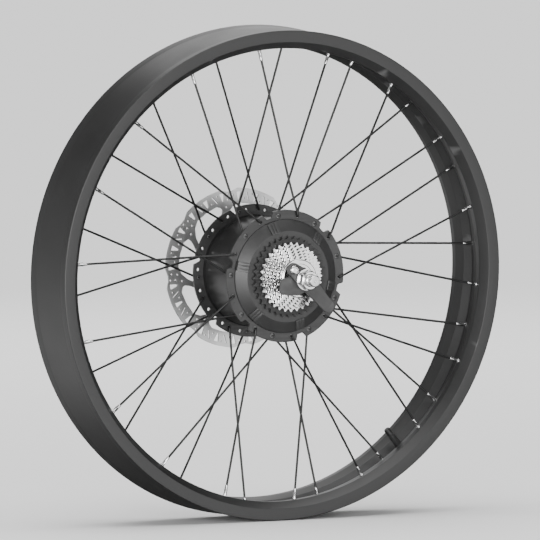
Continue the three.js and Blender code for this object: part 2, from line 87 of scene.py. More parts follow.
def fillet(points, radii, seg=3, closed=True):
    """Rounds the corners of an outline."""
    n = len(points)
    out = []
    for i in range(n):
        r = radii[i] if hasattr(radii, "__len__") else radii
        p = Vector(points[i]).to_2d()
        if r <= 0 or (not closed and i in (0, n - 1)):
            out.append((p.x, p.y))
            continue
        a = Vector(points[(i - 1) % n]).to_2d()
        b = Vector(points[(i + 1) % n]).to_2d()
        da, db = a - p, b - p
        la, lb = da.length, db.length
        if la < 1e-6 or lb < 1e-6:
            continue
        cosang = max(-1, min(1, da.dot(db) / la / lb))
        half = math.acos(cosang) / 2
        t = min(r / max(math.tan(half), 1e-3), 0.45 * la, 0.45 * lb)
        if math.pi - 2 * half < 0.05:
            out.append((p.x, p.y))
            continue
        s, e = p + da / la * t, p + db / lb * t
        for k in range(seg + 1):
            u = k / seg
            q = s * (1 - u) ** 2 + p * 2 * u * (1 - u) + e * u * u
            out.append((q.x, q.y))
    return out


def lathe(profile, n=96, wobble=None):
    """A closed (r, z) outline turned about z. Points on the axis are poles."""
    v, f, rings = [], [], []
    ang = [2 * math.pi * k / n for k in range(n)]
    for r, z in profile:
        if r < 1e-6:
            rings.append([len(v)])
            v.append((0, 0, z))
        else:
            rings.append(list(range(len(v), len(v) + n)))
            for a in ang:
                rr = r if wobble is None else r * wobble(a, r, z)
                v.append((rr * math.cos(a), rr * math.sin(a), z))
    m = len(rings)
    for i in range(m):
        a, b = rings[i], rings[(i + 1) % m]
        if len(a) == 1 and len(b) == 1:
            continue
        for k in range(n):
            k2 = (k + 1) % n
            if len(a) == 1:
                f.append((a[0], b[k2], b[k]))
            elif len(b) == 1:
                f.append((a[k], a[k2], b[0]))
            else:
                f.append((a[k], a[k2], b[k2], b[k]))
    return outward(v, f)


def area2(p):
    return 0.5 * sum(p[i][0] * p[(i + 1) % len(p)][1] - p[(i + 1) % len(p)][0] * p[i][1] for i in range(len(p)))


def inset(loop, d):
    """Moves a loop to its left by d."""
    n = len(loop)
    out = []
    for i in range(n):
        a, p, b = Vector(loop[i - 1]), Vector(loop[i]), Vector(loop[(i + 1) % n])
        d1, d2 = (p - a).normalized(), (b - p).normalized()
        n1, n2 = Vector((-d1.y, d1.x)), Vector((-d2.y, d2.x))
        m = n1 + n2
        if m.length < 1e-6:
            m = n1
        m.normalize()
        k = d / max(0.5, m.dot(n1))
        out.append((p.x + m.x * k, p.y + m.y * k))
    return out


def plate(outline, holes, z0, z1, bevel=0.3):
    """A flat plate with holes and a chamfer on every edge."""
    loops = [outline if area2(outline) > 0 else outline[::-1]]
    loops += [h if area2(h) < 0 else h[::-1] for h in holes]
    v, f = [], []
    low, high = [], []
    for loop in loops:
        n = len(loop)
        ins = inset(loop, bevel)
        base = len(v)
        for pts, z in ((ins, z0), (loop, z0 + bevel), (loop, z1 - bevel), (ins, z1)):
            v.extend((x, y, z) for x, y in pts)
        for ring in range(3):
            for k in range(n):
                a, b = base + ring * n + k, base + ring * n + (k + 1) % n
                f.append((a, b, b + n, a + n))
        low.append((ins, base))
        high.append((ins, base + 3 * n))
    flat = [[Vector((x, y, 0)) for x, y in pts] for pts, _ in low]
    tris = tessellate_polygon(flat)
    index_low = [b + k for pts, b in low for k in range(len(pts))]
    index_high = [b + k for pts, b in high for k in range(len(pts))]
    for t in tris:
        p = [v[index_high[i]] for i in t]
        s = (p[1][0] - p[0][0]) * (p[2][1] - p[0][1]) - (p[2][0] - p[0][0]) * (p[1][1] - p[0][1])
        if abs(s) < 1e-12:
            continue
        t = t if s > 0 else tuple(reversed(t))
        f.append(tuple(index_high[i] for i in t))
        f.append(tuple(index_low[i] for i in reversed(t)))
    return v, f


def circle(r, n, x=0.0, y=0.0, phase=0.0):
    return [(x + polar(r, phase + 360 * i / n)[0], y + polar(r, phase + 360 * i / n)[1]) for i in range(n)]


def bend_path(points, radii, seg=6):
    """Rounds the corners of a path in space."""
    pts = [Vector(p) for p in points]
    out = [pts[0]]
    for i in range(1, len(pts) - 1):
        a, p, b = pts[i - 1], pts[i], pts[i + 1]
        da, db = a - p, b - p
        t = min(radii[i], 0.45 * da.length, 0.45 * db.length)
        s, e = p + da.normalized() * t, p + db.normalized() * t
        for k in range(seg + 1):
            u = k / seg
            out.append(s * (1 - u) ** 2 + p * 2 * u * (1 - u) + e * u * u)
    out.append(pts[-1])
    return out


def sweep(path, section, sides=10):
    """A closed tube along a path. section(i, angle) gives the radius."""
    n = len(path)
    tang = []
    for i in range(n):
        a, b = path[max(0, i - 1)], path[min(n - 1, i + 1)]
        tang.append((b - a).normalized() if (b - a).length > 1e-9 else tang[-1])
    u = tang[0].orthogonal().normalized()
    v, f = [], []
    for i in range(n):
        u = (u - tang[i] * u.dot(tang[i])).normalized()
        w = tang[i].cross(u)
        for k in range(sides):
            a = 2 * math.pi * k / sides
            r = section(i, a)
            v.append(tuple(path[i] + (u * math.cos(a) + w * math.sin(a)) * r))
    for i in range(n - 1):
        for k in range(sides):
            a, b = i * sides + k, i * sides + (k + 1) % sides
            f.append((a, b, b + sides, a + sides))
    f.append(tuple(range(sides))[::-1])
    f.append(tuple(range((n - 1) * sides, n * sides)))
    return outward(v, f)


def along_axis(part, origin, direction):
    """Puts a part turned about z at origin, with its z along direction."""
    d = Vector(direction).normalized()
    u = d.orthogonal().normalized()
    w = d.cross(u)
    o = Vector(origin)
    return [tuple(o + u * x + w * y + d * z) for x, y, z in part[0]], part[1]


def shifted(part, x, y, z=0.0):
    return [(a + x, b + y, c + z) for a, b, c in part[0]], part[1]


def piece(name, parts, body, material, replaces=(), sharp=32.0):
    v, f = [], []
    for pv, pf in parts:
        base = len(v)
        v.extend(pv)
        f.extend(tuple(i + base for i in face) for face in pf)
    mesh = bpy.data.meshes.new(name)
    mesh.from_pydata([(x / 1000, -z / 1000, y / 1000) for x, y, z in v], [], f)
    mesh.validate()
    mesh.shade_smooth()
    mesh.set_sharp_from_angle(angle=rad(sharp))
    mesh.materials.append(material)
    o = bpy.data.objects.new(name, mesh)
    bpy.context.scene.collection.objects.link(o)
    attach(o, body)
    if replaces:
        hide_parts(*replaces)
    return o


# ------------------------------------------------------------------- materials
def material(name, dark, light, rough, metal, rough_vary=0.08, mottle=18.0, grain=900.0, bump=0.12,
             turned=0.0, wear=None, coat=0.0, gap_shade_reach=0.0):
    """Two shades mixed by soft mottling and fine grain, with varied roughness and
    a grain or turning-mark bump. wear brightens the exposed edges. The last argument
    is the reach, in metres, of painted shade: colour darkened in narrow gaps where shadow falls."""
    m = bpy.data.materials.new(name)
    m.use_nodes = True
    t = m.node_tree
    b = t.nodes["Principled BSDF"]
    b.inputs["Metallic"].default_value = metal
    b.inputs["Coat Weight"].default_value = coat
    co = t.nodes.new("ShaderNodeTexCoord").outputs["Object"]
    link = t.links.new

    def noise(vec, scale, detail=3.0, r=0.55):
        n = t.nodes.new("ShaderNodeTexNoise")
        n.inputs["Scale"].default_value = scale
        n.inputs["Detail"].default_value = detail
        n.inputs["Roughness"].default_value = r
        link(vec, n.inputs["Vector"])
        return n.outputs["Fac"]

    def math_node(op, a, b_):
        n = t.nodes.new("ShaderNodeMath")
        n.operation = op
        for i, x in enumerate((a, b_)):
            if isinstance(x, (int, float)):
                n.inputs[i].default_value = x
            else:
                link(x, n.inputs[i])
        return n.outputs[0]

    soft = noise(co, mottle)
    fine = noise(co, grain, 2.0)
    if turned > 0:
        sep = t.nodes.new("ShaderNodeSeparateXYZ")
        link(co, sep.inputs[0])
        x, y, z = sep.outputs
        r = math_node("SQRT", math_node("ADD", math_node("MULTIPLY", x, x), math_node("MULTIPLY", z, z)), 0.0)
        comb = t.nodes.new("ShaderNodeCombineXYZ")
        link(math_node("MULTIPLY", r, turned), comb.inputs[0])
        link(math_node("MULTIPLY", y, turned), comb.inputs[1])
        fine = noise(comb.outputs[0], 1.0, 4.0, 0.7)
    mixed = math_node("ADD", math_node("MULTIPLY", soft, 0.6), math_node("MULTIPLY", fine, 0.4))
    ramp = t.nodes.new("ShaderNodeValToRGB")
    ramp.color_ramp.elements[0].position = 0.34
    ramp.color_ramp.elements[0].color = (*dark, 1)
    ramp.color_ramp.elements[1].position = 0.66
    ramp.color_ramp.elements[1].color = (*light, 1)
    link(mixed, ramp.inputs[0])
    colour = ramp.outputs[0]
    if wear is not None:
        geo = t.nodes.new("ShaderNodeNewGeometry")
        edge = t.nodes.new("ShaderNodeMapRange")
        edge.inputs["From Min"].default_value = 0.53
        edge.inputs["From Max"].default_value = 0.64
        link(geo.outputs["Pointiness"], edge.inputs["Value"])
        broken = math_node("MULTIPLY", edge.outputs[0], math_node("MULTIPLY", soft, 0.9))
        mix = t.nodes.new("ShaderNodeMix")
        mix.data_type = "RGBA"
        link(broken, mix.inputs["Factor"])
        link(colour, mix.inputs["A"])
        mix.inputs["B"].default_value = (*wear, 1)
        colour = mix.outputs["Result"]
    # Painted shade: an ambient-occlusion mask mixes the colour towards near-black in narrow gaps, standing in for the
    # shadow that falls there.
    if gap_shade_reach > 0:
        ao = t.nodes.new("ShaderNodeAmbientOcclusion")
        ao.samples = 8
        ao.inputs["Distance"].default_value = gap_shade_reach
        shade = t.nodes.new("ShaderNodeMapRange")
        shade.inputs["From Min"].default_value = 0.32
        shade.inputs["From Max"].default_value = 0.66
        link(ao.outputs["AO"], shade.inputs["Value"])
        gap_shade_mix = t.nodes.new("ShaderNodeMix")
        gap_shade_mix.data_type = "RGBA"
        link(shade.outputs[0], gap_shade_mix.inputs["Factor"])
        gap_shade_mix.inputs["A"].default_value = (0.025, 0.025, 0.025, 1)
        link(colour, gap_shade_mix.inputs["B"])
        colour = gap_shade_mix.outputs["Result"]
    link(colour, b.inputs["Base Color"])
    rr = t.nodes.new("ShaderNodeMapRange")
    rr.inputs["From Min"].default_value = 0.3
    rr.inputs["From Max"].default_value = 0.7
    rr.inputs["To Min"].default_value = max(0.04, rough - rough_vary)
    rr.inputs["To Max"].default_value = min(1.0, rough + rough_vary)
    link(mixed, rr.inputs["Value"])
    link(rr.outputs[0], b.inputs["Roughness"])
    bn = t.nodes.new("ShaderNodeBump")
    bn.inputs["Strength"].default_value = bump
    bn.inputs["Distance"].default_value = 0.0003
    link(fine, bn.inputs["Height"])
    link(bn.outputs[0], b.inputs["Normal"])
    return m


def g(v, tint=0.0):
    return (v * (1 - tint), v, v * (1 + tint))


M = {
    "rim": material("rim_anodised", g(0.016), g(0.025), 0.40, 0.0, mottle=9, grain=1400, bump=0.10, wear=g(0.16)),
    "spoke": material("spoke_black_oxide", g(0.010), g(0.018), 0.36, 0.25, mottle=60, grain=2200, bump=0.06),
    "head": material("spoke_head_worn", g(0.14), g(0.22), 0.34, 0.5, mottle=200, grain=2000, bump=0.06),
    "nipple": material("nipple_plated", g(0.62), g(0.80), 0.20, 1.0, mottle=300, grain=2600, bump=0.05),
    "shell": material("shell_paint", g(0.010), g(0.017), 0.33, 0.0, mottle=22, grain=1300, bump=0.12, wear=g(0.12)),
    "cover": material("cover_paint", g(0.022), g(0.033), 0.40, 0.0, mottle=22, grain=1300, bump=0.14, wear=g(0.20)),
    # The rotor's slot walls carry painted shade from the ambient-occlusion gap mask.
    "rotor": material("rotor_stainless", g(0.56), g(0.68), 0.32, 0.85, mottle=40, turned=3200, bump=0.12, gap_shade_reach=0.003),
    "black_sprocket": material("sprocket_black", g(0.009), g(0.016), 0.42, 0.2, mottle=60, grain=1500, bump=0.1, wear=g(0.10)),
    # The sprocket valleys and the gaps between rows carry painted shade from the ambient-occlusion gap mask, for the
    # dark crescents of shadow.
    "sprocket": material("sprocket_plated", g(0.84), g(0.93), 0.22, 1.0, mottle=80, grain=2200, bump=0.02, gap_shade_reach=0.0038),
    "dark_steel": material("arm_dark_steel", g(0.024), g(0.036), 0.44, 0.1, mottle=55, grain=1500, bump=0.12, wear=g(0.22)),
    "chrome": material("fastener_chrome", g(0.78), g(0.90), 0.13, 1.0, 0.05, mottle=120, grain=2400, bump=0.03),
    "turned_steel": material("turned_steel", g(0.60), g(0.76), 0.24, 1.0, mottle=90, turned=4200, bump=0.08),
    "rubber": material("rubber_black", g(0.014), g(0.024), 0.66, 0.0, mottle=160, grain=1800, bump=0.25),
    "plastic": material("cap_plastic", g(0.012), g(0.020), 0.40, 0.0, mottle=160, grain=1600, bump=0.10),
    "spacer": material("spacer_black", g(0.012), g(0.020), 0.55, 0.0, mottle=90, grain=1500, bump=0.10),
    "bearing": material("bearing_ground", g(0.60), g(0.76), 0.18, 1.0, mottle=90, turned=5200, bump=0.04),
    "lamination": material("lamination_steel", g(0.09), g(0.15), 0.5, 0.9, mottle=70, grain=1800, bump=0.2),
    "copper": material("winding_enamel", (0.30, 0.09, 0.03), (0.52, 0.20, 0.08), 0.34, 0.7, mottle=130, grain=1500, bump=0.3),
    "magnet": material("magnet_nickel", g(0.42), g(0.56), 0.30, 1.0, mottle=70, grain=1500, bump=0.05),
    "carrier": material("carrier_alloy", g(0.46), g(0.60), 0.34, 1.0, mottle=50, turned=2600, bump=0.08),
    "nylon": material("gear_nylon", (0.66, 0.62, 0.52), (0.78, 0.74, 0.64), 0.5, 0.0, mottle=90, grain=1200, bump=0.08),
}

# ------------------------------------------------------------------------- rim
half = [(288.8, 30), (290, 43.4), (276, 43.4), (268, 34.2), (268, 26), (271.4, 12.4), (279.3, 5.3)]
half_r = [3, 1.3, 0.9, 1.6, 2.0, 1.2, 1.2]
profile = fillet(half + [(r, -z) for r, z in reversed(half)], half_r + half_r[::-1], seg=4)
piece("rim_body", [lathe(profile, 400)], "wheel", M["rim"], ["rim"], sharp=40)

# ----------------------------------------------------------------------- valve
va = -49.9
tip_r = 251.6
stem = [(3.1, 6.0), (3.1, 9.2), (4.0, 9.8), (4.15, 15), (4.3, 22.0), (5.1, 25.6), (5.6, 27.0), (5.6, 28.4)]
stem = [(0, 6.0)] + fillet(stem, [0, 0.2, 0.6, 3, 3, 2, 0.4, 0.2], closed=False) + [(0, 28.4)]
vx, vy = polar(tip_r, va)
vdir = (*polar(1, va), 0)
piece("valve_stem_rubber", [along_axis(lathe(stem, 48), (vx, vy, 0), vdir)], "wheel", M["rubber"], ["valve_stem"])
cap = [(0, 0)] + fillet([(3.2, 0), (3.7, 0.6), (3.9, 6.9), (4.25, 7.3), (4.25, 8.1), (2.0, 8.1)], [0.8, 0.4, 0.2, 0.2, 0.2, 0], closed=False) + [(0, 8.1)]
piece("valve_cap_ribbed", [along_axis(lathe(cap, 72, lambda a, r, z: 1 + (0.035 * (math.cos(18 * a) > 0) if 0.8 < z < 6.8 and r > 3 else 0)), (vx, vy, 0), vdir)],
      "wheel", M["plastic"], ["valve_cap"])

# ---------------------------------------------------------------------- spokes
SPOKE_R = 1.3
DRIVE = {"r": 78.3, "z": 50.2, "holes": 71.9}
BRAKE = {"r": 78.6, "z": -30.6, "holes": 72.6}
FLANGE_T = 3.2


def crossing(h1, e1, h2, e2):
    d1 = (e1[0] - h1[0], e1[1] - h1[1])
    d2 = (e2[0] - h2[0], e2[1] - h2[1])
    w = (h2[0] - h1[0], h2[1] - h1[1])
    det = d1[0] * -d2[1] + d2[0] * d1[1]
    return (w[0] * -d2[1] + d2[0] * w[1]) / det, (d1[0] * w[1] - d1[1] * w[0]) / det


def spoke(hole, seat, z_head, z_face, z_elbow, z_end, t, z_cross, step):
    def at(f, z):
        return Vector((hole[0] + (seat[0] - hole[0]) * f, hole[1] + (seat[1] - hole[1]) * f, z))

    run = math.hypot(seat[0] - hole[0], seat[1] - hole[1])
    pts = [at(0, z_head), at(0, z_elbow)]
    radii = [0, 2.6]
    if step:
        pts.append(at(8.6 / run, z_elbow))
        radii.append(5.0)
    p0, p1 = at(t, z_cross), at(1, z_end)
    pts += [p0, p1]
    radii += [9.0, 0]
    wire = sweep(bend_path(pts, radii), lambda i, a: SPOKE_R, 12)
    s = 1 if z_head > z_face else -1
    head = [(0, -2.2), (2.5, -2.2), (2.85, -1.9), (2.85, -1.3), (1.75, -1.2), (1.75, 0.1), (1.45, 0.5), (0.6, 0.62), (0.45, 0.35), (0, 0.32)]
    head = along_axis(lathe(head, 32), at(0, z_face - 0.35 * s), (0, 0, s))
    d = (p1 - p0).normalized()
    # square-flatted nipple, its skirt against the rim
    steps = [(0.0, 1.4, 0), (0.35, 1.65, 0), (1.3, 1.75, 0), (4.6, 1.78, 0), (4.9, 1.6, 1), (9.6, 1.6, 1),
             (9.9, 1.85, 0), (11.2, 1.95, 0), (11.7, 2.4, 0), (12.5, 2.5, 0)]
    path = [p1 + d * (x - 12.7) for x, _, _ in steps]

    def section(i, a):
        _, r, square = steps[i]
        if not square:
            return r
        c = max(abs(math.cos(a)), abs(math.sin(a)))
        return min(r / c, 2.15)

    return wire, head, sweep(path, section, 24)


def spoke_pair(tag, k, a, b, seat_r, z_seat, z_cross, f):
    hole_a, hole_b = polar(a[0], a[1] + PHASE), polar(b[0], b[1] + PHASE)
    seat_a, seat_b = polar(seat_r, a[2] + PHASE), polar(seat_r, b[2] + PHASE)
    ta, tb = crossing(hole_a, seat_a, hole_b, seat_b)
    one = spoke(hole_a, seat_a, *f[0][:3], z_seat, ta, z_cross + 1.3, f[0][3])
    two = spoke(hole_b, seat_b, *f[1][:3], z_seat, tb, z_cross - 1.3, f[1][3])
    piece(f"spokes_{tag}_{k}", [one[0], two[0]], "wheel", M["spoke"], [f"spoke_pair_{tag}_{k}"], sharp=50)
    piece(f"spoke_heads_{tag}_{k}", [one[1], two[1]], "wheel", M["head"], sharp=30)
    piece(f"nipples_{tag}_{k}", [one[2], two[2]], "wheel", M["nipple"], sharp=30)


def faces(z_out, z_in, sign):
    return (
        (z_in - 1.65, z_in - 0.35, z_out + 1.75, sign > 0),
        (z_out + 1.65, z_out + 0.35, z_in - 1.75, sign < 0),
    )


for k in range(9):
    spoke_pair("drive", k + 1, (DRIVE["holes"], 8 + 40 * k, 26.3 + 40 * k), (DRIVE["holes"], 28 + 40 * k, 6.3 + 40 * k),
               267.3, 29.5, 44.4, faces(DRIVE["z"], DRIVE["z"] - FLANGE_T, 1))
    spoke_pair("brake", k + 1, (BRAKE["holes"], 15.3 + 40 * k, 35.95 + 40 * k), (BRAKE["holes"], 35.3 + 40 * k, 15.95 + 40 * k),
               278.5, 0, -25.6, faces(BRAKE["z"], BRAKE["z"] - FLANGE_T, -1))


# ------------------------------------------------------------------- hub shell
def flange(r, notches, holes, z0, z1):
    pts, radii = [], []
    marks = sorted(notches, key=lambda q: q["out0"])
    for i, q in enumerate(marks):
        pts += [polar(r, q["out0"] + PHASE), polar(q["floor"], q["in0"] + PHASE), polar(q["floor"], q["in1"] + PHASE), polar(r, q["out1"] + PHASE)]
        radii += [1.6, 1.4, 1.4, 1.6]
        end = marks[(i + 1) % len(marks)]["out0"] + (360 if i == len(marks) - 1 else 0)
        steps = max(2, int((end - q["out1"]) / 1.5))
        for s in range(1, steps):
            pts.append(polar(r, q["out1"] + (end - q["out1"]) * s / steps + PHASE))
            radii.append(0)
    rounded = fillet(pts, radii, seg=5)
    return plate(rounded, [circle(64, 144)] + holes, z0, z1, 0.35)


drive_notches = [{"out0": 58 + 60 * k - 5.1, "in0": 58 + 60 * k - 3, "in1": 58 + 60 * k + 3, "out1": 58 + 60 * k + 5.1, "floor": 71.9} for k in range(6)]
brake_notches = [{"out0": 58 + 60 * k - 0.75, "in0": 58 + 60 * k - 0.6, "in1": 58 + 60 * k + 2, "out1": 58 + 60 * k + 5.5, "floor": 71.2} for k in range(6)]


drive_holes = []
for k in range(9):
    for d, r in ((8 + 40 * k, 2.1), (28 + 40 * k, 2.7)):
        drive_holes.append(circle(r, 28, *polar(DRIVE["holes"], d + PHASE)))
brake_holes = []
for k in range(18):
    brake_holes.append(circle(1.75, 24, *polar(BRAKE["holes"], 15.3 + 20 * k + PHASE)))
    brake_holes.append(circle(2.0, 24, *polar(BRAKE["holes"], 8 + 20 * k + PHASE)))

drum = fillet(
    [(17, -79), (17, -71.7), (24, -71.7), (24, -60), (58, -45), (66.4, -36.5), (66.4, -30.9), (65, -27), (66.4, 10), (67.6, 46.9),
     (67.6, 50.2), (62.5, 50.2), (62.5, -31), (55, -41), (20.3, -52), (20.3, -64), (12, -64), (12, -79)],
    [0.6, 1.5, 1.0, 4, 6, 3, 0.5, 4, 20, 0.3, 0.3, 0.3, 1, 2, 1, 0.5, 0.4, 0.4], seg=5)
shell_parts = [
    lathe(drum, 180),
    flange(DRIVE["r"], drive_notches, drive_holes, DRIVE["z"] - FLANGE_T, DRIVE["z"]),
    flange(BRAKE["r"], brake_notches, brake_holes, BRAKE["z"] - FLANGE_T, BRAKE["z"]),
]
piece("hub_shell_cast", shell_parts, "wheel", M["shell"], ["hub_shell"], sharp=35)

# ----------------------------------------------------------------- drive cover
cover = fillet(
    [(9.7, 82), (13, 82), (13, 58), (54, 58), (66.9, 50.95), (66.9, 50.1), (61.9, 50.1), (61.9, 45), (57, 45), (50, 52.5), (25, 53.5),
     (25, 43.5), (20.3, 43.5), (20.3, 55), (9.7, 55)],
    [0.3, 0.4, 1.0, 1.1, 1.3, 0.1, 0.3, 0.3, 0.3, 1, 1, 0.3, 0.3, 0.3, 0.3], seg=4)
parts = [lathe(cover, 180)]


def bar_along_cone(t0, t1, lift, deg):
    side = fillet([(53.6, 55.5), (53.6, 58.05 + lift), (54.6, 58.35 + lift), (66.5, 52.45 + lift), (66.7, 51.0), (60, 52)],
                  [0.1, 0.35, 0.4, 0.45, 0.2, 0.2], seg=3)
    v, f = [], []
    b = 0.22
    c = np.mean(side, 0)
    small = [(c[0] + (x - c[0]) * 0.985, c[1] + (z - c[1]) * 0.94) for x, z in side]
    stations = [(t0, small), (t0 + b, side), (t1 - b, side), (t1, small)]
    n = len(side)
    for t, pts in stations:
        for r, z in pts:
            ca, sa = math.cos(rad(deg)), math.sin(rad(deg))
            v.append((r * ca - t * sa, r * sa + t * ca, z))
    for i in range(3):
        for k in range(n):
            a, b2 = i * n + k, i * n + (k + 1) % n
            f.append((a, b2, b2 + n, a + n))
    f.append(tuple(range(n))[::-1])
    f.append(tuple(range(3 * n, 4 * n)))
    return outward(v, f)


for k in range(6):
    d = 58 + 60 * k + PHASE
    parts.append(bar_along_cone(-5.52, 5.52, 0.55, d))
    for t0, t1 in ((-5.6, -2.2), (-1.5, 1.5), (2.2, 5.6)):
        parts.append(bar_along_cone(t0, t1, 1.45, d))
piece("drive_cover_cast", parts, "wheel", M["cover"], ["drive_cover"], sharp=35)


# ------------------------------------------------------------------- sprockets
def teeth_outline(count, tip, depth, phase, sharp_share=0.13):
    pts = []
    step = 360 / count
    for i in range(count):
        c = phase + i * step
        for drop, at in ((0.72, -0.27), (0.34, -0.17), (0.0, -sharp_share * 0.5), (0.0, sharp_share * 0.5),
                         (0.34, 0.17), (0.72, 0.27), (0.94, 0.38), (1.0, 0.5), (0.94, 0.62)):
            pts.append(polar(tip - depth * drop, c + step * at))
    return pts


piece("sprocket_1_cut", [plate(teeth_outline(36, 48.4, 3.6, 0), [circle(20.4, 72)], 59.6, 61.5, 0.3)],
      "freewheel", M["black_sprocket"], ["sprocket_1"])
TIPS = [41.3 - 2.95 * i for i in range(6)]
COUNTS = [32, 30, 27, 25, 23, 21]
for i, (count, tip) in enumerate(zip(COUNTS, TIPS)):
    z = 64.1 + 3.6 * i
    piece(f"sprocket_{i + 2}_cut", [plate(teeth_outline(count, tip, 3.5, 180 + PHASE + (i % 2) * 180 / count), [circle(20.4, 72)], z, z + 1.9, 0.16)],
          "freewheel", M["sprocket"], [f"sprocket_{i + 2}"])
    z0 = 61.75 if i == 0 else z - 1.55
    r = tip - 4.2
    spacer = fillet([(20.5, z0), (r, z0), (r, z - 0.15), (20.5, z - 0.15)], [0, 0.2, 0.2, 0], seg=2)
    piece(f"sprocket_spacer_{i + 1}", [lathe(spacer, 96)], "freewheel", M["spacer"])

lock = fillet([(14, 84.9), (22.6, 84.9), (22.6, 87.2), (21.6, 87.9), (17.6, 87.9), (17.2, 87.3), (14, 87.3)], [0.2, 0.2, 0.3, 0.3, 0.3, 0.2, 0.2], seg=3)
piece("cassette_lockring_splined",
      [lathe(lock, 144, lambda a, r, z: 1 + (0.05 if r < 15 and math.cos(12 * a) > 0.2 else 0))],
      "freewheel", M["chrome"], ["cassette_lockring"])
piece("freehub_body_splined",
      [lathe(fillet([(13.4, 58.6), (19.5, 58.6), (19.5, 84.6), (13.4, 84.6)], 0.4, seg=2), 144, lambda a, r, z: 1 + (0.03 if r > 18 and math.cos(9 * a) > 0.3 else 0))],
      "freewheel", M["turned_steel"], ["freehub_body"])


# -------------------------------------------------------------------- the axle
def threaded(r, z0, z1, pitch=1.0, depth=0.42, sides=64, per=8, lead=1.0):
    """A threaded rod from z0 to z1 with chamfered ends."""
    rows = int((z1 - z0) / pitch * per)
    v, f = [(0, 0, z0)], []
    for i in range(rows + 1):
        z = z0 + (z1 - z0) * i / rows
        for k in range(sides):
            u = (z / pitch - k / sides) % 1.0
            cut = depth * (1 - abs(2 * u - 1))
            edge = min(z - z0, z1 - z)
            top = r - max(0.0, lead - edge) * 0.8
            rr = min(r - cut, top)
            v.append((rr * math.cos(2 * math.pi * k / sides), rr * math.sin(2 * math.pi * k / sides), z))
    v.append((0, 0, z1))
    for i in range(rows):
        for k in range(sides):
            a, b = 1 + i * sides + k, 1 + i * sides + (k + 1) % sides
            f.append((a, b, b + sides, a + sides))
    last = len(v) - 1
    for k in range(sides):
        f.append((0, 1 + (k + 1) % sides, 1 + k))
        f.append((last, 1 + rows * sides + k, 1 + rows * sides + (k + 1) % sides))
    return outward(v, f)


core = [(0, -92.5), (8.2, -92.5), (8.2, -38), (13, -38), (13, 1), (8.2, 1), (8.2, 94.5), (0, 94.5)]
core = [core[0]] + fillet(core[1:-1], 0.35, seg=2, closed=False) + [core[-1]]
tip = [(0, 117), (6.75, 117), (6.95, 118), (6.95, 125.6), (6.0, 127.3), (1.7, 127.6), (1.1, 126.7), (0, 126.6)]
piece("axle_threaded",
      [lathe(core, 72), threaded(7.0, 94.0, 117.6), lathe([tip[0]] + fillet(tip[1:-1], [0.2, 0.3, 0.9, 0.5, 0.4, 0.1], seg=4, closed=False) + [tip[-1]], 72),
       threaded(7.0, -118.0, -92.3)],
      "axle", M["turned_steel"], ["axle_shaft"], sharp=40)


def hexagon(corner, z0, z1, bore, phase, both=True, sides=120):
    """A hexagon with chamfered corners and a countersunk bore."""
    ap = corner * math.cos(rad(30))
    rc = ap * 0.965
    v, f = [], []
    rings = 0
    k30 = math.tan(rad(30))

    def big(a):
        u = (math.degrees(a) - phase) % 60 - 30
        return min(ap / math.cos(rad(u)), corner * 0.985)

    def add(radius, z):
        nonlocal rings
        for k in range(sides):
            a = 2 * math.pi * k / sides
            r = radius(a)
            v.append((r * math.cos(a), r * math.sin(a), z(a)))
        rings += 1

    add(lambda a: bore, lambda a: z0 + 0.7)
    add(lambda a: bore + 0.7, lambda a: z0)
    add(lambda a: rc, lambda a: z0)
    low = (lambda a: z0 + (big(a) - rc) * k30) if both else (lambda a: z0 + 0.25)
    add(lambda a: big(a), low)
    add(lambda a: big(a), lambda a: z1 - (big(a) - rc) * k30)
    add(lambda a: rc, lambda a: z1)
    add(lambda a: bore + 0.7, lambda a: z1)
    add(lambda a: bore, lambda a: z1 - 0.7)
    for i in range(rings):
        for k in range(sides):
            a, b = i * sides + k, i * sides + (k + 1) % sides
            c, d = ((i + 1) % rings) * sides + (k + 1) % sides, ((i + 1) % rings) * sides + k
            f.append((a, b, c, d))
    return outward(v, f)


piece("nut_drive_hex", [hexagon(12.1, 105, 115, 7.25, 19)], "axle", M["chrome"], ["nut_drive"], sharp=28)
piece("nut_brake_hex", [hexagon(12.1, -112.5, -102.5, 7.25, 19)], "axle", M["chrome"], ["nut_brake"], sharp=28)
piece("locknut_drive_hex", [hexagon(12.4, 88.6, 94.4, 8.5, 10)], "axle", M["turned_steel"], ["locknut_drive"], sharp=28)
piece("locknut_brake_hex", [hexagon(12.6, -93, -82, 8.5, 0)], "axle", M["turned_steel"], ["locknut_brake"], sharp=28)
piece("washer_drive_round", [lathe(fillet([(7.3, 102.9), (12.6, 102.9), (12.6, 104.7), (7.3, 104.7)], [0.1, 0.4, 0.5, 0.3], seg=3), 96)],
      "axle", M["chrome"], ["washer_drive"])

lug = [in_plane(*p) for p in ((8, 9), (-6, 11), (-12, 3), (-27, -3.5), (-30, -7), (-28.5, -20), (-25, -22.5), (-4, -20), (9, -12), (13, -2))]
piece("lug_plate_cut", [plate(fillet(lug, [3, 3, 3, 3, 2, 3, 3, 5, 5, 5], seg=6), [circle(7.4, 48)], 94.8, 98.3, 0.4)],
      "axle", M["dark_steel"], ["lug_plate"])

BOLT, ARM_END = (-17.4, 9.1), (36.6, -26.4)
arm = []
for c, r, a0, a1, n in ((BOLT, 8, 60, 240, 24), ((0, 0), 11.5, 215, 262, 10), (ARM_END, 7.4, 240, 416, 24), ((0, 0), 11.5, 28, 78, 10)):
    for i in range(n + 1):
        x, y = polar(r, a0 + (a1 - a0) * i / n)
        arm.append(in_plane(c[0] + x, c[1] + y))
piece("torque_arm_cut", [plate(arm, [circle(7.4, 48), circle(3.5, 32, *in_plane(*BOLT))], 98.6, 102.6, 0.45)],
      "axle", M["dark_steel"], ["torque_arm"])

